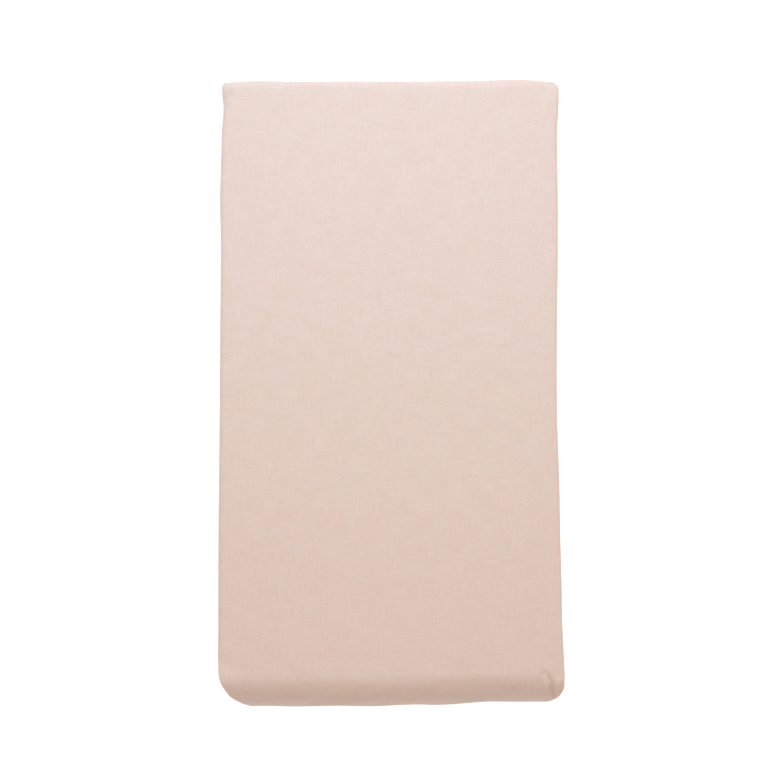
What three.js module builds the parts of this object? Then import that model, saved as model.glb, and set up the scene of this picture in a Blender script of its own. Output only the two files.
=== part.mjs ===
// A flat bed sheet of plain-woven cotton, folded into a neat packet that lies on a table.
//
// The sheet is first folded lengthwise into a band of twelve plies, and the band is then folded
// crosswise in half, three times, which stacks it in eight layers. The model is that band: one
// solid that runs back and forth through the packet, with a little air between its layers.
//
// Sizes are in millimetres. X runs across the packet, Y along it and Z up. The near end, at -Y,
// has one big fold over the packet's full height. The far end, at +Y, has the smaller folds
// and, below them, the two ends of the sheet. The origin is under the middle of the packet, on
// the surface that it lies on.

import * as THREE from "three";

const WIDTH = 200;
const LENGTH = 369;

const PLY_COUNT = 12;
const PLY_PITCH = 0.23;
const LAYER_COUNT = 8;
const LAYER_THICKNESS = PLY_COUNT * PLY_PITCH;
const LAYER_GAP = 0.34;
const LAYER_PITCH = LAYER_THICKNESS + LAYER_GAP;
const HEIGHT = LAYER_COUNT * LAYER_PITCH - LAYER_GAP;

const NEAR = -1;
const FAR = 1;

// One row for each turn, in the order in which the band runs. Layers count from 1 at the top.
// nest is the radius, in layer pitches, of the outermost turn of the group it is folded with,
// and setBack is how far it stays short of its end of the packet.
const TURNS = [
  { from: 8, to: 1, end: NEAR, nest: 3.5, setBack: 0, steps: 14 },
  { from: 1, to: 4, end: FAR, nest: 1.5, setBack: 0, steps: 10 },
  { from: 4, to: 5, end: NEAR, nest: 3.5, setBack: 2.2, steps: 6 },
  { from: 5, to: 6, end: FAR, nest: 0.5, setBack: 1.8, steps: 8 },
  { from: 6, to: 3, end: NEAR, nest: 3.5, setBack: 1.3, steps: 10 },
  { from: 3, to: 2, end: FAR, nest: 1.5, setBack: 0.9, steps: 8 },
  { from: 2, to: 7, end: NEAR, nest: 3.5, setBack: 0.5, steps: 12 },
];
const FIRST_END_SET_BACK = 1.2;
const LAST_END_SET_BACK = 3.4;

// How far each layer's two long edges stay inside the packet's outline, from the top down.
const EDGE_SET_IN = [
  { left: 0.0, right: 0.0 },
  { left: 0.8, right: 0.5 },
  { left: 1.3, right: 0.9 },
  { left: 0.5, right: 0.3 },
  { left: 1.1, right: 0.8 },
  { left: 0.4, right: 1.1 },
  { left: 1.2, right: 0.6 },
  { left: 0.6, right: 0.9 },
];

// Places along Y where every straight layer has a row of points between its two ends.
const RUN_ROWS = [-167, -157, -125, -70, 0, 60, 113, 160];

// The packet's outline from above, edge by edge: how far it stands out (+) or in (-) of the
// plain rectangle at places along that edge.
const RIGHT_OUTLINE = [
  { at: 176, out: -0.2 },
  { at: 150, out: -1.6 },
  { at: 110, out: -1.2 },
  { at: 0, out: -2.4 },
  { at: -70, out: -1.1 },
  { at: -125, out: -0.2 },
  { at: -184, out: 1.5 },
];
const LEFT_OUTLINE = [
  { at: 179, out: -0.3 },
  { at: 167, out: -1.2 },
  { at: 150, out: -0.3 },
  { at: 113, out: 0.4 },
  { at: 0, out: -0.1 },
  { at: -90, out: 0.2 },
  { at: -184, out: 0.1 },
];
const NEAR_OUTLINE = [
  { at: -100, out: 0.0 },
  { at: -20, out: 0.4 },
  { at: 20, out: -0.7 },
  { at: 65, out: -2.3 },
  { at: 100, out: -2.5 },
];
const FAR_OUTLINE = [
  { at: -100, out: -0.6 },
  { at: -80, out: 0.0 },
  { at: 45, out: 0.1 },
  { at: 80, out: 1.1 },
  { at: 100, out: 0.0 },
];

// The near end's outermost fold is as tall as the packet, and reaches this far along it. The
// layers make up for that over the run-in.
const NEAR_FOLD_REACH = 17;
const NEAR_FOLD_RUN_IN = 45;

// Each corner's radius from above.
const CORNERS = [
  { x: -1, y: NEAR, radius: 21 },
  { x: 1, y: NEAR, radius: 12 },
  { x: -1, y: FAR, radius: 4 },
  { x: 1, y: FAR, radius: 6.5 },
];

// Soft rises and dips of the top, which fade to nothing at the flat underside.
const SWELLS = [
  { x: 0, y: 20, reachX: 85, reachY: 150, rise: -0.5 },
  { x: 20, y: 172, reachX: 110, reachY: 40, rise: 0.4 },
  { x: -30, y: -160, reachX: 100, reachY: 45, rise: 0.5 },
  { x: -98, y: -181, reachX: 18, reachY: 18, rise: -1.6 },
  { x: 99, y: -181, reachX: 14, reachY: 16, rise: -1.2 },
  { x: 93, y: -170, reachX: 5, reachY: 14, rise: -1.1 },
  { x: 99, y: 183, reachX: 20, reachY: 20, rise: -0.8 },
];

// Columns of points across a layer's two faces, measured in from each long edge.
const COLUMNS_FROM_EDGE = [3, 7, 12, 20, 60];
const EDGE_STEPS = 6;
const LOBE_STEPS = 3;

// The lower half of the band ends in loose edges on the left, which stay back a little.
const LOOSE_EDGE_SET_BACK = 0.8;

const CLOTH_COLOUR = 0xe3cdc2;

function mix(a, b, t) {
  return a + (b - a) * t;
}

function smooth(t) {
  const held = Math.min(1, Math.max(0, t));
  return held * held * (3 - 2 * held);
}

// Reads an outline table at a place, easing from row to row.
function outAt(table, at) {
  const rows = [...table].sort((p, q) => p.at - q.at);
  for (let i = 1; i < rows.length; i += 1) {
    if (at <= rows[i].at) {
      const t = (at - rows[i - 1].at) / (rows[i].at - rows[i - 1].at);
      return mix(rows[i - 1].out, rows[i].out, smooth(t));
    }
  }
  return rows[rows.length - 1].out;
}

function layerHeight(layer) {
  return LAYER_THICKNESS / 2 + (LAYER_COUNT - layer) * LAYER_PITCH;
}

function turnCentre(turn) {
  const reach = turn.nest * LAYER_PITCH + LAYER_THICKNESS / 2 + turn.setBack;
  return turn.end * (LENGTH / 2 - reach);
}

// A station is a point on the band's middle line, with the direction that its outer face looks
// in (ny, nz) and the set-ins of its two edges.
function straightRun(layer, fromY, toY) {
  const heading = Math.sign(toY - fromY);
  const rows = heading > 0 ? RUN_ROWS : [...RUN_ROWS].reverse();
  return [fromY, ...rows, toY].map((y) => ({
    y,
    z: layerHeight(layer),
    ny: 0,
    nz: heading,
    ...EDGE_SET_IN[layer - 1],
  }));
}

function turnStations(turn) {
  const centreY = turnCentre(turn);
  const fromZ = layerHeight(turn.from);
  const toZ = layerHeight(turn.to);
  const centreZ = (fromZ + toZ) / 2;
  const radius = Math.abs(toZ - fromZ) / 2;
  const side = Math.sign(toZ - fromZ) * -turn.end;
  const start = EDGE_SET_IN[turn.from - 1];
  const finish = EDGE_SET_IN[turn.to - 1];
  const stations = [];
  for (let i = 1; i < turn.steps; i += 1) {
    const t = i / turn.steps;
    const outY = turn.end * Math.sin(Math.PI * t);
    const outZ = Math.sign(fromZ - centreZ) * Math.cos(Math.PI * t);
    stations.push({
      y: centreY + radius * outY,
      z: centreZ + radius * outZ,
      ny: side * outY,
      nz: side * outZ,
      left: mix(start.left, finish.left, t),
      right: mix(start.right, finish.right, t),
    });
  }
  return stations;
}

// The whole middle line, from the sheet's end in the bottom layer to its other end.
function bandStations() {
  const stations = [];
  let fromY = FAR * (LENGTH / 2 - FIRST_END_SET_BACK);
  for (const turn of TURNS) {
    stations.push(...straightRun(turn.from, fromY, turnCentre(turn)));
    stations.push(...turnStations(turn));
    fromY = turnCentre(turn);
  }
  const lastLayer = TURNS[TURNS.length - 1].to;
  const lastY = FAR * (LENGTH / 2 - LAST_END_SET_BACK);
  stations.push(...straightRun(lastLayer, fromY, lastY));
  return stations;
}

// The band cut across: x over its width and d towards its outer face. The right edge is one
// round fold of all the plies. The left one has two lobes, each of half the plies.
function bandRing() {
  const half = WIDTH / 2;
  const roundRadius = LAYER_THICKNESS / 2;
  const lobeRadius = LAYER_THICKNESS / 4;
  const ring = [];
  const addArc = (x, d, radius, fromAngle, toAngle, steps) => {
    for (let i = 0; i <= steps; i += 1) {
      const angle = mix(fromAngle, toAngle, i / steps);
      ring.push(new THREE.Vector2(x + radius * Math.cos(angle), d + radius * Math.sin(angle)));
    }
  };
  const inward = COLUMNS_FROM_EDGE.map((inset) => half - inset);
  const columns = [...inward, ...inward.map((x) => -x).reverse()];

  addArc(half - roundRadius, 0, roundRadius, -Math.PI / 2, Math.PI / 2, EDGE_STEPS);
  columns.forEach((x) => ring.push(new THREE.Vector2(x, roundRadius)));
  addArc(-half + lobeRadius, lobeRadius, lobeRadius, Math.PI / 2, Math.PI * 1.4, LOBE_STEPS);
  const looseX = -half + lobeRadius + LOOSE_EDGE_SET_BACK;
  addArc(looseX, -lobeRadius, lobeRadius, Math.PI * 0.6, Math.PI * 1.5, LOBE_STEPS);
  [...columns].reverse().forEach((x) => ring.push(new THREE.Vector2(x, -roundRadius)));
  return ring;
}

// Draws the near end's round folds out along the packet, so that its top slopes down softly.
function drawOutNearFold(point) {
  const fromEnd = LENGTH / 2 - NEAR * point.y;
  const squeeze = (NEAR_FOLD_RUN_IN - NEAR_FOLD_REACH) / (NEAR_FOLD_RUN_IN - HEIGHT / 2);
  if (fromEnd < HEIGHT / 2) {
    point.y = NEAR * (LENGTH / 2 - (fromEnd * NEAR_FOLD_REACH) / (HEIGHT / 2));
  } else if (fromEnd < NEAR_FOLD_RUN_IN) {
    point.y = NEAR * (LENGTH / 2 - NEAR_FOLD_REACH - (fromEnd - HEIGHT / 2) * squeeze);
  }
}

// Rounds the packet's corners from above: each square corner is pressed into a quarter disc.
function roundCorners(point) {
  for (const corner of CORNERS) {
    const fromSide = WIDTH / 2 - corner.x * point.x;
    const fromEnd = LENGTH / 2 - corner.y * point.y;
    if (fromSide < corner.radius && fromEnd < corner.radius) {
      const u = 1 - fromSide / corner.radius;
      const v = 1 - fromEnd / corner.radius;
      const roundU = u * Math.sqrt(1 - (v * v) / 2);
      const roundV = v * Math.sqrt(1 - (u * u) / 2);
      point.x = corner.x * (WIDTH / 2 - corner.radius * (1 - roundU));
      point.y = corner.y * (LENGTH / 2 - corner.radius * (1 - roundV));
    }
  }
}

function raiseSwells(point) {
  let rise = 0;
  for (const swell of SWELLS) {
    const across = (point.x - swell.x) / swell.reachX;
    const along = (point.y - swell.y) / swell.reachY;
    rise += swell.rise * smooth(1 - Math.hypot(across, along));
  }
  point.z *= 1 + rise / HEIGHT;
}

function followOutline(point) {
  const { x, y } = point;
  const rightShare = (x + WIDTH / 2) / WIDTH;
  point.x += outAt(RIGHT_OUTLINE, y) * rightShare - outAt(LEFT_OUTLINE, y) * (1 - rightShare);
  const farShare = smooth(y / (LENGTH / 2));
  const nearShare = smooth(-y / (LENGTH / 2));
  point.y += outAt(FAR_OUTLINE, x) * farShare - outAt(NEAR_OUTLINE, x) * nearShare;
}

function bandPoint(station, ringPoint) {
  const rightShare = (ringPoint.x + WIDTH / 2) / WIDTH;
  const point = new THREE.Vector3(
    ringPoint.x + station.left * (1 - rightShare) - station.right * rightShare,
    station.y + ringPoint.y * station.ny,
    station.z + ringPoint.y * station.nz,
  );
  drawOutNearFold(point);
  roundCorners(point);
  raiseSwells(point);
  followOutline(point);
  return point;
}

// Sweeps the ring through the stations and closes both ends.
function bandGeometry() {
  const stations = bandStations();
  const ring = bandRing();
  const count = ring.length;
  const positions = [];
  const triangles = [];
  for (const station of stations) {
    for (const ringPoint of ring) {
      positions.push(...bandPoint(station, ringPoint).toArray());
    }
  }
  for (let i = 0; i + 1 < stations.length; i += 1) {
    for (let k = 0; k < count; k += 1) {
      const here = i * count + k;
      const beside = i * count + ((k + 1) % count);
      // The diagonals of two faces that lie on each other run the same way, so the gap is even.
      if (stations[i].nz > 0) {
        triangles.push(here, here + count, beside);
        triangles.push(beside, here + count, beside + count);
      } else {
        triangles.push(here, here + count, beside + count);
        triangles.push(here, beside + count, beside);
      }
    }
  }
  const lastRing = (stations.length - 1) * count;
  for (const [a, b, c] of THREE.ShapeUtils.triangulateShape(ring, [])) {
    triangles.push(a, b, c);
    triangles.push(lastRing + c, lastRing + b, lastRing + a);
  }
  const geometry = new THREE.BufferGeometry();
  geometry.setAttribute("position", new THREE.Float32BufferAttribute(positions, 3));
  geometry.setIndex(triangles);
  return geometry;
}

// Puts the origin under the middle of the packet's box.
function centre(geometry) {
  geometry.computeBoundingBox();
  const middle = geometry.boundingBox.getCenter(new THREE.Vector3());
  geometry.translate(-middle.x, -middle.y, 0);
}

function foldedSheet() {
  const geometry = bandGeometry();
  centre(geometry);
  geometry.computeVertexNormals();
  const cotton = new THREE.MeshStandardMaterial({
    color: CLOTH_COLOUR,
    roughness: 0.9,
    metalness: 0,
  });
  const mesh = new THREE.Mesh(geometry, cotton);
  mesh.name = "folded_sheet";
  return mesh;
}

const group = new THREE.Group();
group.add(foldedSheet());

export default group;
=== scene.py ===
"""A flat bed sheet of plain-woven cotton, folded into a packet, seen from above.

The whole sheet is one thin surface. Across its width it runs back and forth in twelve plies, which
make a band, and along its length that band runs back and forth in eight layers. The cloth's sizes
are in millimetres until the mesh is made: X across the packet, Y along it, Z up.
"""

import math

import bpy
import numpy as np
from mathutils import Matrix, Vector


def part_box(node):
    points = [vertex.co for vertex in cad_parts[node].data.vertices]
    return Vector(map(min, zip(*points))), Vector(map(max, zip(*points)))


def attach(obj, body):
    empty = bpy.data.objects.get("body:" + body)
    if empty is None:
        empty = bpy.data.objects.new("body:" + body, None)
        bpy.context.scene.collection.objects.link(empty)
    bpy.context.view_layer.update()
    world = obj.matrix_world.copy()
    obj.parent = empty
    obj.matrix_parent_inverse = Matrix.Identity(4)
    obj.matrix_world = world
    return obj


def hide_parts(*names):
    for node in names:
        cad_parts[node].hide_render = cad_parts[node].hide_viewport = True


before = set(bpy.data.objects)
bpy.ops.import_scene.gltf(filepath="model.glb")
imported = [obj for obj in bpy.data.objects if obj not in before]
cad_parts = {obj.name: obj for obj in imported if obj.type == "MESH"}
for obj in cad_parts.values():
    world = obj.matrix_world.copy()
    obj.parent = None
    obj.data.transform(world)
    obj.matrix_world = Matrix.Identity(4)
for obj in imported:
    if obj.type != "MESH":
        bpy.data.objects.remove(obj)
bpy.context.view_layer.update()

NODE = "folded_sheet"
MM = 0.001
SEED = 7

# The packet's width and length.
WIDTH = 200.0
LENGTH = 369.0

# The band of twelve plies. Ply 1 is its outer face: it covers the packet's top and its near end.
PLY_PITCH = 0.23
PLY_COUNT = 12
BAND_THICKNESS = PLY_COUNT * PLY_PITCH
BAND_REACH = (PLY_COUNT - 1) / 2 * PLY_PITCH
PLY_ORDER = (10, 3, 4, 9, 8, 5, 2, 11, 12, 1, 6, 7)

# Folds on the band's left: the two plies, the ply pitches from the centre to the outermost fold of
# their group, and how far they stop short of the outline. Then the same for the two loose edges.
LEFT_FOLDS = {
    (1, 6): (2.5, 0.0),
    (2, 5): (2.5, 0.5),
    (3, 4): (2.5, 0.9),
    (8, 9): (0.5, 0.9),
    (11, 12): (0.5, 0.3),
}
LOOSE_EDGES = {10: 1.6, 7: 2.5}
INNER_FOLD_SET_BACK = 0.25

# The eight layers, counted from the top.
LAYER_COUNT = 8
LAYER_GAP = 0.34
LAYER_PITCH = BAND_THICKNESS + LAYER_GAP
HEIGHT = LAYER_COUNT * LAYER_PITCH - LAYER_GAP

# from layer, to layer, end, radius of its group's outermost turn in layer pitches, set back, steps
NEAR = -1
FAR = 1
TURNS = (
    (8, 1, NEAR, 3.5, 0.0, 27),
    (1, 4, FAR, 1.5, 0.0, 14),
    (4, 5, NEAR, 3.5, 2.2, 6),
    (5, 6, FAR, 0.5, 1.8, 6),
    (6, 3, NEAR, 3.5, 1.3, 9),
    (3, 2, FAR, 1.5, 0.9, 6),
    (2, 7, NEAR, 3.5, 0.5, 11),
)
FIRST_END_SET_BACK = 1.2
LAST_END_SET_BACK = 3.4

# How far each layer's left and right edges stay inside the packet's outline, from the top down.
EDGE_SET_IN = (
    (0.0, 0.0),
    (0.8, 0.5),
    (1.3, 0.9),
    (0.5, 0.3),
    (1.1, 0.8),
    (0.4, 1.1),
    (1.2, 0.6),
    (0.6, 0.9),
)

# The outline from above: places along each edge, and how far it stands out of a rectangle there.
RIGHT_OUTLINE = (
    (-184, 1.8), (-125, 0.1), (-70, -0.8), (0, -2.1), (110, -0.8), (150, -1.1), (176, 0.1)
)
LEFT_OUTLINE = (
    (-184, -0.7), (-150, 0.0), (-90, 0.2), (0, -0.1), (85, -0.2), (113, 0.4), (150, -0.3),
    (167, -1.2), (179, -0.3)
)
NEAR_OUTLINE = ((-100, 0.4), (-20, 0.7), (20, -0.4), (65, -1.9), (100, -2.2))
FAR_OUTLINE = ((-100, -0.6), (-80, 0.0), (45, 0.1), (80, 1.1), (100, 0.0))

# The near end's outermost fold leans: it stands out the most low down. Its height there, how far it
# goes back from there to the top and to the underside, the powers of its curve, and the stretch of
# the layers that makes up for it.
NEAR_FOLD_WIDEST = 3.5
NEAR_FOLD_REACH = 18.4
NEAR_FOLD_FOOT = 8.0
NEAR_FOLD_POWERS = (2.0, 1.65)
NEAR_FOLD_RUN_IN = (17.0, 62.0)

# Corners from above: side, end and radius. Each draws in the cloth over this many radii.
CORNER_REACH = 2.5
CORNERS = ((-1, NEAR, 20.8), (1, NEAR, 10.5), (-1, FAR, 3.0), (1, FAR, 5.8))

# Soft rises and dips of the top: centre, reach across, reach along, rise.
SWELLS = (
    (0, 20, 85, 150, -0.5),
    (20, 172, 110, 40, 0.4),
    (-30, -160, 100, 45, 0.5),
    (-99, -171, 17, 12, 0.9),
    (99, 183, 20, 20, -0.8),
)

# Creases of the top, unrolled over the near end: from, to, half-width and depth. First the tuck at
# the near right corner, then the one at the far left, then faint ones that are left from wear.
CREASES = (
    ((88.4, -173.6), (90.6, -175.6), 1.9, 1.2),
    ((90.6, -175.6), (91.7, -178.9), 0.9, 2.2),
    ((91.7, -178.9), (92.3, -182.2), 0.62, 2.35),
    ((92.3, -182.2), (93.6, -185.4), 0.62, 2.35),
    ((93.6, -185.4), (96.8, -190.0), 0.62, 2.3),
    ((-100.5, 170.3), (-93.8, 175.6), 1.5, 1.7),
    ((-100.2, 170.6), (-98.2, 173.0), 2.0, 1.8),
    ((-93, 25), (-62, 35), 2.3, 0.10),
    ((-93, -6), (-60, 2), 2.3, 0.09),
    ((-48, -88), (-17, -84), 2.3, 0.10),
    ((16, -146), (29, -141), 2.2, 0.09),
    ((73, -28), (95, -26), 2.2, 0.08),
    ((-62, -86), (-33, -75), 2.3, 0.10),
    ((-62, -86), (-70, -96), 2.3, 0.08),
    ((4, -98), (33, -110), 2.3, 0.08),
    ((23, 119), (58, 120), 2.2, 0.07),
    ((-74, 103), (-37, 104), 2.2, 0.07),
    ((-70, -118), (-20, -121), 2.2, 0.07),
    ((-30, -127), (40, -124), 2.2, 0.07),
    ((-85, -133), (-40, -137), 2.2, 0.08),
)

# How much wider the creases are in the plies under the outer one.
INNER_WIDENING = 9.0

# Rises of the outer ply beside the tucks: from, to, half-width and height.
RISES = (
    ((96.6, -178.0), (97.2, -183.0), 2.2, 2.2),
    ((99.0, -183.0), (99.0, -188.0), 2.6, 3.0),
    ((89.0, -180.5), (90.0, -186.0), 2.1, 0.9),
    ((-98.6, 175.6), (-93.6, 179.0), 1.5, 0.9),
)

# The top rolls off towards its long edges: side, width, depth, and from where to where it grows.
SHOULDERS = (
    (1, 6.0, 0.7, -90, 10),
    (1, 2.6, 1.1, -175, -140),
    (-1, 2.8, 1.2, -175, -140),
)

# Unevenness of the pile: how far its side edges and its ends wander, how much its layers bunch up
# or open, and how much its top and its near end swell and sink. Each has ripples of its own, given
# as the number of waves and their shortest and longest lengths in two directions. A power says how
# fast an edge's wander fades inwards, and the wander also fades within a depth under the top.
EDGE_WANDER = 0.28
EDGE_RIPPLES = (4, (45, 150), (7, 13))
EDGE_POWER = 7
END_WANDER = 0.22
END_RIPPLES = (4, (40, 120), (8, 14))
END_POWER = 15
CALM_TOP_DEPTH = 6
BUNCHING = 0.16
BUNCHING_INSIDE = 0.3
BUNCHING_RIPPLES = (3, (50, 130), (50, 130))
BUNCHING_COUNTS = (3, 5, 7)
COCKLE = 0.05
LONG_COCKLE_RIPPLES = (6, (22, 70), (26, 80))
SHORT_COCKLE_RIPPLES = (6, (13, 24), (14, 32))
NEAR_SWELL = COCKLE * 3
NEAR_SWELL_RIPPLES = (5, (30, 90), (10, 24))
NEAR_SWELL_START = 20
NEAR_SWELL_RUN_IN = 12

# How far each ply's fold or loose edge on the left wanders, and how far in from there it does so.
PLY_WANDER = 0.11
LOOSE_WANDER = 0.3
WANDER_REACH = 6.0
PLY_RIPPLES = (3, (25, 80), (25, 80))

# Rows of points along a layer: from, to and step on top, and places below.
TOP_ROWS = ((-172, -162, 0.9), (-162, -150, 1.6), (-150, 160, 3.6), (160, 176, 1.45))
HIDDEN_ROWS = (-166, -156, -135, -90, -45, 0, 45, 85, 113, 140, 160, 170)

# Columns of points across a ply, measured from its left end: on the outer ply, on all the others,
# and more of them on the ply under the outer one.
TOP_COLUMNS = ((1.0, 16.0, 1.0), (16.0, 184.0, 4.0), (184.0, 199.0, 0.68))
HIDDEN_COLUMNS = (
    1.5, 3, 6, 10, 16, 25, 41, 58, 76, 94, 112, 130, 148, 165, 180, 188, 192, 195, 197, 198.4
)
SECOND_COLUMNS = (20, 32, 49, 67, 85, 103, 121, 139, 157, 172)
CLEARANCE = 0.4

# Steps round a fold between two plies: of the outer ply, of a fold that no other ply wraps, and of
# the rest. Then the share of a turn's points that the half away from the top layer gets.
OUTER_FOLD_STEPS = 9
BARE_FOLD_STEPS = 4
INNER_FOLD_STEPS = 2
FIRST_BARE_PLY = 8
FAR_HALF_SHARE = 0.34

# Each ply ends, at the sheet's two narrow hems, in a lip that is as high as the hem is thick.
LIP = 0.2
LIP_OUT = 0.08

# How much of the colour image's width the outermost ply takes, and how much of its height the top
# layer with the folds at both its ends.
TOP_PLY_SHARE = 0.48
TOP_LAYER_SHARE = 0.60
ATLAS_MARGIN = 0.004


def eased(t):
    held = np.clip(t, 0.0, 1.0)
    return held * held * (3 - 2 * held)


def mix(a, b, t):
    return a + (b - a) * t


def read_outline(table, at):
    places, outs = np.array(table, dtype=float).T
    i = np.clip(np.searchsorted(places, at) - 1, 0, len(places) - 2)
    t = (at - places[i]) / (places[i + 1] - places[i])
    return mix(outs[i], outs[i + 1], eased(t))


def spread(bands):
    """Places at about the asked step in each band, without the band's last one."""
    places = []
    for start, stop, step in bands:
        count = max(1, round((stop - start) / step))
        places += list(np.linspace(start, stop, count, endpoint=False))
    return places


def columns_of(points):
    """Turns a list of like dictionaries into one array for each name."""
    return {name: np.array([p[name] for p in points], dtype=float) for name in points[0]}


def waves(rng, count, shortest, longest):
    """Reciprocal lengths of a few long waves, with their phases."""
    return 1 / rng.uniform(shortest, longest, count), rng.uniform(0, 1, count)


def ripple(rng, count, lengths_a, lengths_b, a, b):
    """A smooth field over two directions, mostly within -1 and 1."""
    rate_a, phase = waves(rng, count, *lengths_a)
    rate_b, _ = waves(rng, count, *lengths_b)
    rate_b *= rng.choice((-1, 1), count)
    total = np.zeros(np.broadcast(a, b).shape)
    for k in range(count):
        total += np.sin(2 * np.pi * (a * rate_a[k] + b * rate_b[k] + phase[k]))
    return total / math.sqrt(count)


def ply_offset(ply):
    return ((PLY_COUNT + 1) / 2 - ply) * PLY_PITCH


def fold_centre(a, b, side):
    """Where across the packet the fold between plies a and b has its centre."""
    if side > 0:
        inside = BAND_REACH - abs(ply_offset(a))
        return WIDTH / 2 - BAND_REACH - INNER_FOLD_SET_BACK * inside
    nest, set_back = LEFT_FOLDS[min(a, b), max(a, b)]
    return -WIDTH / 2 + nest * PLY_PITCH + set_back


def fold_points(a, b, side):
    """The round between two plies. skin is 1 on the band's outer face and fades to 0 round it."""
    centre = fold_centre(a, b, side)
    middle = (ply_offset(a) + ply_offset(b)) / 2
    radius = (ply_offset(a) - ply_offset(b)) / 2
    bare = side < 0 and min(a, b) >= FIRST_BARE_PLY
    steps = OUTER_FOLD_STEPS if 1 in (a, b) else BARE_FOLD_STEPS if bare else INNER_FOLD_STEPS
    points = []
    for k in range(1, steps):
        share = k / steps
        skin = share if b == 1 else 1 - share if a == 1 else 0.0
        points.append({
            "x": centre + side * abs(radius) * math.sin(math.pi * share),
            "d": middle + radius * math.cos(math.pi * share),
            "skin": skin,
            "ply": min(a, b),
        })
    return points


def columns_for(ply):
    """Places of the points across a ply, from its left end."""
    if ply == 1:
        return spread(TOP_COLUMNS)
    return sorted(HIDDEN_COLUMNS + SECOND_COLUMNS) if ply == 2 else list(HIDDEN_COLUMNS)


def across():
    """The cloth cut across the band, in the order in which it runs."""
    points = []
    x = -WIDTH / 2 + LOOSE_EDGES[PLY_ORDER[0]]
    for i, ply in enumerate(PLY_ORDER):
        side = 1 if i % 2 == 0 else -1
        after = PLY_ORDER[i + 1] if i + 1 < PLY_COUNT else None
        stop = fold_centre(ply, after, side) if after else -WIDTH / 2 + LOOSE_EDGES[ply]
        low = min(x, stop) + CLEARANCE
        high = max(x, stop) - CLEARANCE
        places = [p - WIDTH / 2 for p in columns_for(ply)]
        places = [p for p in places if low < p < high][::side]
        for place in [x, *places, stop]:
            points.append({
                "x": place, "d": ply_offset(ply), "skin": float(ply == 1), "ply": ply,
            })
        if after:
            points += fold_points(ply, after, side)
        x = stop
    return columns_of(points)


def layer_height(layer):
    return BAND_THICKNESS / 2 + (LAYER_COUNT - layer) * LAYER_PITCH


def turn_centre(end, nest, set_back):
    return end * (LENGTH / 2 - nest * LAYER_PITCH - BAND_THICKNESS / 2 - set_back)


def run_points(layer, start, stop):
    """A straight layer. ny and nz say where the band's outer face looks."""
    heading = 1 if stop > start else -1
    rows = spread(TOP_ROWS) if layer == 1 else list(HIDDEN_ROWS)
    low = min(start, stop) + CLEARANCE
    high = max(start, stop) - CLEARANCE
    rows = [r for r in rows if low < r < high][::heading]
    left, right = EDGE_SET_IN[layer - 1]
    return [
        {"y": y, "z": layer_height(layer), "ny": 0, "nz": heading, "left": left, "right": right,
         "over": y, "shown": float(layer == 1)}
        for y in [start, *rows, stop]
    ]


def turn_shares(a, b, steps):
    """How far round a turn its points are. The half next to the top layer has more of them."""
    first = round(steps * (FAR_HALF_SHARE if b == 1 else 1 - FAR_HALF_SHARE if a == 1 else 0.5))
    early = np.linspace(0.0, 0.5, first, endpoint=False)[1:]
    return [*early, *np.linspace(0.5, 1.0, steps - first, endpoint=False)]


def turn_points(turn, looks_up):
    """The round between two layers. over unrolls the top over it, and shown fades out round it."""
    a, b, end, nest, set_back, steps = turn
    centre = turn_centre(end, nest, set_back)
    middle = (layer_height(a) + layer_height(b)) / 2
    radius = abs(layer_height(a) - layer_height(b)) / 2
    from_top = 1 if layer_height(a) > middle else -1
    outward = looks_up * from_top
    points = []
    for share in turn_shares(a, b, steps):
        out_y = end * math.sin(math.pi * share)
        out_z = from_top * math.cos(math.pi * share)
        down = share if from_top > 0 else 1 - share
        points.append({
            "y": centre + radius * out_y,
            "z": middle + radius * out_z,
            "ny": outward * out_y,
            "nz": outward * out_z,
            "left": mix(EDGE_SET_IN[a - 1][0], EDGE_SET_IN[b - 1][0], share),
            "right": mix(EDGE_SET_IN[a - 1][1], EDGE_SET_IN[b - 1][1], share),
            "over": centre + end * math.pi * down * (radius + BAND_REACH),
            "shown": 1 - down if 1 in (a, b) else 0.0,
        })
    return points


def along():
    """The band cut along the packet, in the order in which it runs."""
    points = []
    y = LENGTH / 2 - FIRST_END_SET_BACK
    for turn in TURNS:
        centre = turn_centre(*turn[2:5])
        points += run_points(turn[0], y, centre)
        points += turn_points(turn, points[-1]["nz"])
        y = centre
    points += run_points(TURNS[-1][1], y, LENGTH / 2 - LAST_END_SET_BACK)
    points = [dict(point, lip=0.0) for point in points]
    hems = [dict(hem, lip=LIP, y=hem["y"] + LIP_OUT) for hem in (points[0], points[-1])]
    return columns_of([hems[0], *points, hems[1]])


def ridges_along(lines, x, over, widen):
    """Height of soft ridges along straight lines, each of them widened by so much."""
    height = np.zeros(np.broadcast(x, over).shape)
    for (x0, y0), (x1, y1), half_width, high in lines:
        run_x, run_y = x1 - x0, y1 - y0
        t = ((x - x0) * run_x + (over - y0) * run_y) / (run_x ** 2 + run_y ** 2)
        t = np.clip(t, 0.0, 1.0)
        far = np.hypot(x - x0 - t * run_x, over - y0 - t * run_y)
        height = np.maximum(height, high * np.exp(-(far / (half_width + widen)) ** 2))
    return height


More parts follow.
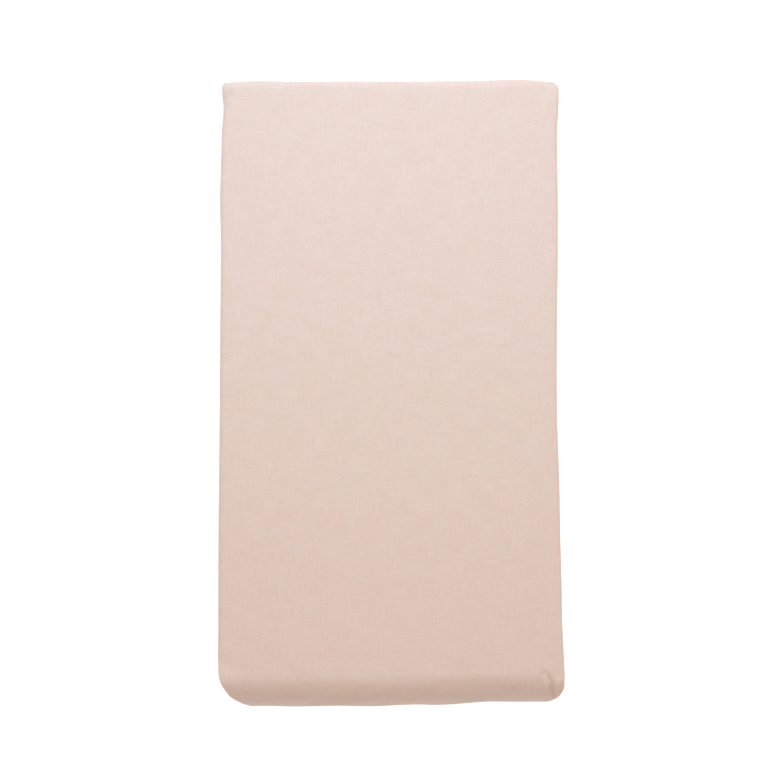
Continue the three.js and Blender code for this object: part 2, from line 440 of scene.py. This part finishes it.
def lean_near_fold(y, z):
    """Turns the near end's round folds into leaning ones, so that the top slopes down softly."""
    half = HEIGHT / 2
    held = np.clip(z, 0, HEIGHT)
    across_power, up_power = NEAR_FOLD_POWERS
    up = np.clip((held - NEAR_FOLD_WIDEST) / (HEIGHT - NEAR_FOLD_WIDEST), 0, 1)
    under = np.clip(1 - held / NEAR_FOLD_WIDEST, 0, 1)
    set_back = NEAR_FOLD_REACH * (1 - (1 - up ** up_power) ** (1 / across_power))
    set_back += NEAR_FOLD_FOOT * (1 - np.sqrt(1 - under ** 2))
    shift = set_back - (half - np.sqrt(half ** 2 - (held - half) ** 2))
    start, stop = NEAR_FOLD_RUN_IN
    share = 1 - eased((LENGTH / 2 - NEAR * y - start) / (stop - start))
    return y - NEAR * shift * share


def round_corners(x, y):
    """Draws the cloth in at each corner, so that the packet's outline is round there from above."""
    for side, end, radius in CORNERS:
        from_end = np.clip(LENGTH / 2 - end * y, 0, radius)
        inset = radius - np.sqrt(radius ** 2 - (radius - from_end) ** 2)
        from_side = np.clip((WIDTH / 2 - side * x) / (CORNER_REACH * radius), 0, 1)
        x = x - side * inset * (1 - from_side) ** 2
    return x


def swell_share(x, y):
    rise = np.zeros(x.shape)
    for centre_x, centre_y, reach_x, reach_y, top_rise in SWELLS:
        far = np.hypot((x - centre_x) / reach_x, (y - centre_y) / reach_y)
        rise += top_rise * eased(1 - far)
    return 1 + rise / HEIGHT


def follow_outline(x, y):
    right_share = (x + WIDTH / 2) / WIDTH
    out_x = read_outline(RIGHT_OUTLINE, y) * right_share
    out_x -= read_outline(LEFT_OUTLINE, y) * (1 - right_share)
    out_y = read_outline(FAR_OUTLINE, x) * eased(y / (LENGTH / 2))
    out_y -= read_outline(NEAR_OUTLINE, x) * eased(-y / (LENGTH / 2))
    return x + out_x, y + out_y


def shoulder_drop(x, y):
    """How much lower the top is next to its long edges."""
    drop = 0.0
    for side, width, deep, start, full in SHOULDERS:
        edge = np.clip(1 - (WIDTH / 2 - side * x) / width, 0, 1) ** 2
        drop = drop + deep * edge * eased((y - start) / (full - start))
    return drop


def unsettle(x, y, z):
    """Moves the pile's points by smooth fields, so that its layers lie as unevenly as cloth does."""
    rng = np.random.default_rng(SEED)
    below_top = eased((HEIGHT - z) / CALM_TOP_DEPTH)
    side = (x / (WIDTH / 2)) ** EDGE_POWER
    end = (y / (LENGTH / 2)) ** END_POWER
    edge = np.maximum(np.abs(side), np.abs(end))
    for way in (-1, 1):
        wander = ripple(rng, *EDGE_RIPPLES, y, z)
        x = x + EDGE_WANDER * below_top * wander * np.where(side * way > 0, side, 0)
    for way in (-1, 1):
        wander = ripple(rng, *END_RIPPLES, x, z)
        y = y + END_WANDER * below_top * wander * np.where(end * way > 0, end, 0)
    for count in BUNCHING_COUNTS:
        bunching = ripple(rng, *BUNCHING_RIPPLES, x, y) * np.sin(np.pi * count * z / HEIGHT)
        z = z + BUNCHING * bunching * mix(BUNCHING_INSIDE, 1.0, edge)
    cockle = ripple(rng, *LONG_COCKLE_RIPPLES, x, y)
    cockle += ripple(rng, *SHORT_COCKLE_RIPPLES, y, x)
    z = z * (1 + COCKLE * cockle / HEIGHT)
    near = eased((-y - LENGTH / 2 + NEAR_SWELL_START) / NEAR_SWELL_RUN_IN)
    near = near * np.sin(np.pi * np.clip(z / HEIGHT, 0, 1))
    y = y + NEAR_SWELL * near * ripple(rng, *NEAR_SWELL_RIPPLES, x, z)
    return x, y, z


def ply_wander(c, y):
    """How far each ply's fold or loose edge on the band's left wanders to and fro."""
    rng = np.random.default_rng(SEED + 1)
    shift = np.zeros(np.broadcast(c["x"], y).shape)
    near_edge = eased(1 - (c["x"] + WIDTH / 2) / WANDER_REACH)
    for ply in range(2, PLY_COUNT + 1):
        far = LOOSE_WANDER if ply in LOOSE_EDGES else PLY_WANDER
        shift += far * near_edge * (c["ply"] == ply) * ripple(rng, *PLY_RIPPLES, y, 0.0)
    return shift


def length_along(a, b):
    """How far each point of a path is from its start."""
    return np.concatenate([[0.0], np.cumsum(np.hypot(np.diff(a), np.diff(b)))])


def atlas_places(flat, shown, share):
    """Places from 0 to 1 along the cloth, of which the shown stretches fill the given share."""
    steps = np.diff(flat)
    weights = np.where(shown, share / steps[shown].sum(), (1 - share) / steps[~shown].sum())
    places = np.concatenate([[0.0], np.cumsum(steps * weights)])
    return ATLAS_MARGIN + (1 - 2 * ATLAS_MARGIN) * places


def sheet_grid():
    """Every point of the sheet, one row for each cut along it, and its place on the flat cloth."""
    c, r = across(), along()
    x, d, skin = c["x"][None, :], c["d"][None, :], c["skin"][None, :]
    row = {name: values[:, None] for name, values in r.items()}

    right_share = (x + WIDTH / 2) / WIDTH
    px = x + row["left"] * (1 - right_share) - row["right"] * right_share
    px = px + ply_wander({name: values[None, :] for name, values in c.items()}, row["y"])
    sunk = ridges_along(CREASES, px, row["over"], INNER_WIDENING)
    crease = ridges_along(CREASES, px, row["over"], 0.0)
    crease -= ridges_along(RISES, px, row["over"], 0.0)
    depth_share = (d + BAND_REACH) / (2 * BAND_REACH)
    down = row["shown"] * depth_share * mix(sunk, crease, skin)
    d = np.maximum(d - down - row["lip"], -BAND_REACH)
    py = row["y"] + d * row["ny"]
    pz = row["z"] + d * row["nz"]
    py = lean_near_fold(py, pz)
    px, py, pz = unsettle(px, py, pz)
    px = round_corners(px, py)
    pz = pz * (swell_share(px, py) - shoulder_drop(px, py) / HEIGHT)
    px, py = follow_outline(px, py)
    flat_u = length_along(c["x"], c["d"])
    flat_v = length_along(r["y"], r["z"])
    outer = (c["skin"][1:] > 0) | (c["skin"][:-1] > 0)
    topmost = (r["shown"][1:] > 0) | (r["shown"][:-1] > 0)
    bake_u = atlas_places(flat_u, outer, TOP_PLY_SHARE)
    bake_v = atlas_places(flat_v, topmost, TOP_LAYER_SHARE)
    places = {"Cloth": (flat_u * MM, flat_v * MM), "OFBake": (bake_u, bake_v)}
    return np.stack([px, py, pz], axis=-1) * MM, places


def grid_mesh(name, points, places):
    rows, columns = points.shape[:2]
    first = (np.arange(rows - 1)[:, None] * columns + np.arange(columns - 1)[None, :]).ravel()
    quads = np.stack([first, first + 1, first + columns + 1, first + columns], axis=1)
    mesh = bpy.data.meshes.new(name)
    mesh.vertices.add(rows * columns)
    mesh.vertices.foreach_set("co", points.reshape(-1))
    mesh.loops.add(quads.size)
    mesh.loops.foreach_set("vertex_index", quads.ravel())
    mesh.polygons.add(len(quads))
    mesh.polygons.foreach_set("loop_start", np.arange(0, quads.size, 4))
    mesh.polygons.foreach_set("loop_total", np.full(len(quads), 4))
    mesh.update(calc_edges=True)
    mesh.polygons.foreach_set("use_smooth", np.ones(len(quads), dtype=bool))
    for layer_name, (along_u, along_v) in places.items():
        u = np.broadcast_to(along_u[None, :], (rows, columns)).ravel()[quads.ravel()]
        v = np.broadcast_to(along_v[:, None], (rows, columns)).ravel()[quads.ravel()]
        layer = mesh.uv_layers.new(name=layer_name)
        layer.data.foreach_set("uv", np.stack([u, v], axis=1).ravel())
    mesh.validate()
    return mesh


def centred(points):
    """Puts the piece's middle where the CAD node's is."""
    low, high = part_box(NODE)
    middle = (points.reshape(-1, 3).min(axis=0) + points.reshape(-1, 3).max(axis=0)) / 2
    for axis in (0, 1):
        points[..., axis] += (low[axis] + high[axis]) / 2 - middle[axis]
    return points


# The cotton: its two yarn colours, the tints of its faint blotches, how strongly each part of its
# texture shows, and the faint wrinkles that break off from place to place.
DEEP_YARN = (0.72, 0.558, 0.48, 1.0)
PALE_YARN = (0.84, 0.658, 0.582, 1.0)
BLOTCHES = (
    # waves a metre across and along the cloth, detail, strength, tint
    ((70.0, 150.0), 5.0, 2.2, (1.0, 0.965, 0.965, 1.0)),
    ((55.0, 120.0), 5.0, 2.2, (0.995, 0.99, 0.955, 1.0)),
)
TEXTURE_PARTS = (
    # waves a metre across and along the cloth, detail, weight
    (110.0, 1200.0, 1.0, 0.64),
    (1300.0, 80.0, 1.0, 0.58),
    (500.0, 1000.0, 1.0, 0.56),
    (1500.0, 1500.0, 1.0, 0.448),
    (40.0, 200.0, 1.0, 0.08),
)
NOISE_MIDDLE = 0.5
WRINKLES = (14.0, 70.0, 2.0)
WRINKLE_TURN = 0.12
WRINKLE_SHARPNESS = 24.0
WRINKLED_PLACES = (9.0, 12.0, 1.0)
WRINKLED_GAIN = 4.0
WRINKLED_START = -1.9
YARN_BUMP = 0.00006
WRINKLE_BUMP = 0.00009
ROUGHNESS = 0.85
SHEEN = 0.3
SHEEN_ROUGHNESS = 0.5


class Shading:
    """Small helpers for a material's nodes."""

    def __init__(self, material):
        material.use_nodes = True
        self.nodes = material.node_tree.nodes
        self.links = material.node_tree.links
        self.shader = self.nodes["Principled BSDF"]
        self.cloth = self.nodes.new("ShaderNodeUVMap")
        self.cloth.uv_map = "Cloth"

    def noise(self, rate_u, rate_v, detail, turn=0.0):
        place = self.nodes.new("ShaderNodeMapping")
        place.inputs["Scale"].default_value = (rate_u, rate_v, 1.0)
        place.inputs["Rotation"].default_value = (0.0, 0.0, turn)
        self.links.new(self.cloth.outputs["UV"], place.inputs["Vector"])
        texture = self.nodes.new("ShaderNodeTexNoise")
        texture.noise_dimensions = "2D"
        texture.inputs["Scale"].default_value = 1.0
        texture.inputs["Detail"].default_value = detail
        self.links.new(place.outputs["Vector"], texture.inputs["Vector"])
        return texture.outputs[0]

    def math(self, operation, *values):
        node = self.nodes.new("ShaderNodeMath")
        node.operation = operation
        for socket, value in zip(node.inputs, values):
            if isinstance(value, float):
                socket.default_value = value
            else:
                self.links.new(value, socket)
        return node.outputs[0]

    def mixed(self, share, a, b, blend="MIX"):
        node = self.nodes.new("ShaderNodeMix")
        node.data_type = "RGBA"
        node.blend_type = blend
        factor, first, second = node.inputs[0], node.inputs[6], node.inputs[7]
        self.links.new(share, factor)
        for socket, value in ((first, a), (second, b)):
            if isinstance(value, tuple):
                socket.default_value = value
            else:
                self.links.new(value, socket)
        return node.outputs[2]

    def bump(self, height, depth, before=None):
        node = self.nodes.new("ShaderNodeBump")
        node.inputs["Distance"].default_value = depth
        self.links.new(height, node.inputs["Height"])
        if before:
            self.links.new(before, node.inputs["Normal"])
        return node.outputs["Normal"]


def cotton():
    material = bpy.data.materials.new("cotton_percale")
    shading = Shading(material)

    yarns = None
    for rate_u, rate_v, detail, weight in TEXTURE_PARTS:
        part = shading.noise(rate_u, rate_v, detail)
        part = shading.math("MULTIPLY_ADD", part, weight, -weight / 2)
        yarns = shading.math("ADD", part, yarns if yarns else NOISE_MIDDLE)
    colour = shading.mixed(yarns, DEEP_YARN, PALE_YARN)
    for (rate_u, rate_v), detail, strength, tint in BLOTCHES:
        blotches = shading.noise(rate_u, rate_v, detail)
        blotches = shading.math("MULTIPLY_ADD", blotches, strength, (1 - strength) / 2)
        blotches.node.use_clamp = True
        colour = shading.mixed(blotches, colour, tint, "MULTIPLY")
    shading.links.new(colour, shading.shader.inputs["Base Color"])

    ridges = shading.noise(*WRINKLES, WRINKLE_TURN)
    ridges = shading.math("ABSOLUTE", shading.math("SUBTRACT", ridges, NOISE_MIDDLE))
    ridges = shading.math("POWER", shading.math("SUBTRACT", 1.0, ridges), WRINKLE_SHARPNESS)
    places = shading.noise(*WRINKLED_PLACES)
    places = shading.math("MULTIPLY_ADD", places, WRINKLED_GAIN, WRINKLED_START)
    places.node.use_clamp = True
    normal = shading.bump(shading.math("MULTIPLY", ridges, places), WRINKLE_BUMP)
    normal = shading.bump(yarns, YARN_BUMP, normal)
    shading.links.new(normal, shading.shader.inputs["Normal"])

    shading.shader.inputs["Roughness"].default_value = ROUGHNESS
    shading.shader.inputs["Sheen Weight"].default_value = SHEEN
    shading.shader.inputs["Sheen Roughness"].default_value = SHEEN_ROUGHNESS
    return material


def folded_sheet():
    points, places = sheet_grid()
    mesh = grid_mesh("bed_sheet", centred(points), places)
    mesh.materials.append(cotton())
    piece = bpy.data.objects.new("bed_sheet", mesh)
    bpy.context.scene.collection.objects.link(piece)
    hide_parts(NODE)
    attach(piece, "root")


# The stage, in metres. Each lamp has a place, a size, watts and a colour: warm over the middle,
# cooler over the far end, and a weak warm one low down beside it, for the folds there.
CAMERA_ELEVATION = math.radians(85)
CAMERA_DISTANCE = 1.5
CAMERA_LENS = 118.15
CAMERA_SENSOR = 36.0
AIM = Vector((-0.0006, -0.0003, HEIGHT * MM))
LAMPS = {
    "overhead": ((0.0, 0.0, 1.2), 0.6, 6.35, (1.0, 0.755, 0.595)),
    "far_overhead": ((0.0, 0.35, 0.75), 0.5, 2.87, (0.51, 0.854, 1.0)),
    "far_fill": ((0.0, 0.45, 0.40), 0.4, 1.085, (0.45, 0.68, 1.0)),
    "far_low": ((0.8, 0.9, 0.07), 0.12, 1.9, (1.0, 0.5, 0.2)),
}
STUDIO_TINT = (1.0, 0.95, 0.90, 1.0)
STUDIO_STRENGTH = 0.3
FLOOR_REACH = 6.0
FLOOR_COLOUR = (0.4, 0.4, 0.4, 1.0)
FLOOR_ROUGHNESS = 0.9
FLOOR_GLOW = (1.0, 1.0, 1.0, 1.0)
FLOOR_GLOW_STRENGTH = 0.85


def floor():
    mesh = bpy.data.meshes.new("floor")
    ways = ((-1, -1), (1, -1), (1, 1), (-1, 1))
    corners = [(FLOOR_REACH * way_x, FLOOR_REACH * way_y, 0) for way_x, way_y in ways]
    mesh.from_pydata(corners, [], [(0, 1, 2, 3)])
    paint = bpy.data.materials.new("floor_paint")
    paint.use_nodes = True
    shader = paint.node_tree.nodes["Principled BSDF"]
    shader.inputs["Base Color"].default_value = FLOOR_COLOUR
    shader.inputs["Roughness"].default_value = FLOOR_ROUGHNESS
    shader.inputs["Emission Color"].default_value = FLOOR_GLOW
    shader.inputs["Emission Strength"].default_value = FLOOR_GLOW_STRENGTH
    mesh.materials.append(paint)
    piece = bpy.data.objects.new("floor", mesh)
    bpy.context.scene.collection.objects.link(piece)


def look_at(thing, target):
    thing.rotation_euler = (target - thing.location).to_track_quat("-Z", "Y").to_euler()


def camera():
    data = bpy.data.cameras.new("camera")
    data.lens = CAMERA_LENS
    data.sensor_width = CAMERA_SENSOR
    thing = bpy.data.objects.new("camera", data)
    back = Vector((0.0, -math.cos(CAMERA_ELEVATION), math.sin(CAMERA_ELEVATION)))
    thing.location = AIM + back * CAMERA_DISTANCE
    look_at(thing, AIM)
    bpy.context.scene.collection.objects.link(thing)
    bpy.context.scene.camera = thing


def lamp(name, place, size, power, colour):
    data = bpy.data.lights.new(name, "AREA")
    data.shape = "SQUARE"
    data.size = size
    data.energy = power
    data.color = colour
    thing = bpy.data.objects.new(name, data)
    thing.location = place
    look_at(thing, Vector((0.0, 0.0, 0.0)))
    bpy.context.scene.collection.objects.link(thing)


def lights():
    for name, values in LAMPS.items():
        lamp(name, *values)
    world = bpy.data.worlds.new("studio")
    world.use_nodes = True
    background = world.node_tree.nodes["Background"]
    background.inputs["Color"].default_value = STUDIO_TINT
    background.inputs["Strength"].default_value = STUDIO_STRENGTH
    bpy.context.scene.world = world
    bpy.context.scene.view_settings.view_transform = "Standard"


floor()
camera()
lights()
folded_sheet()
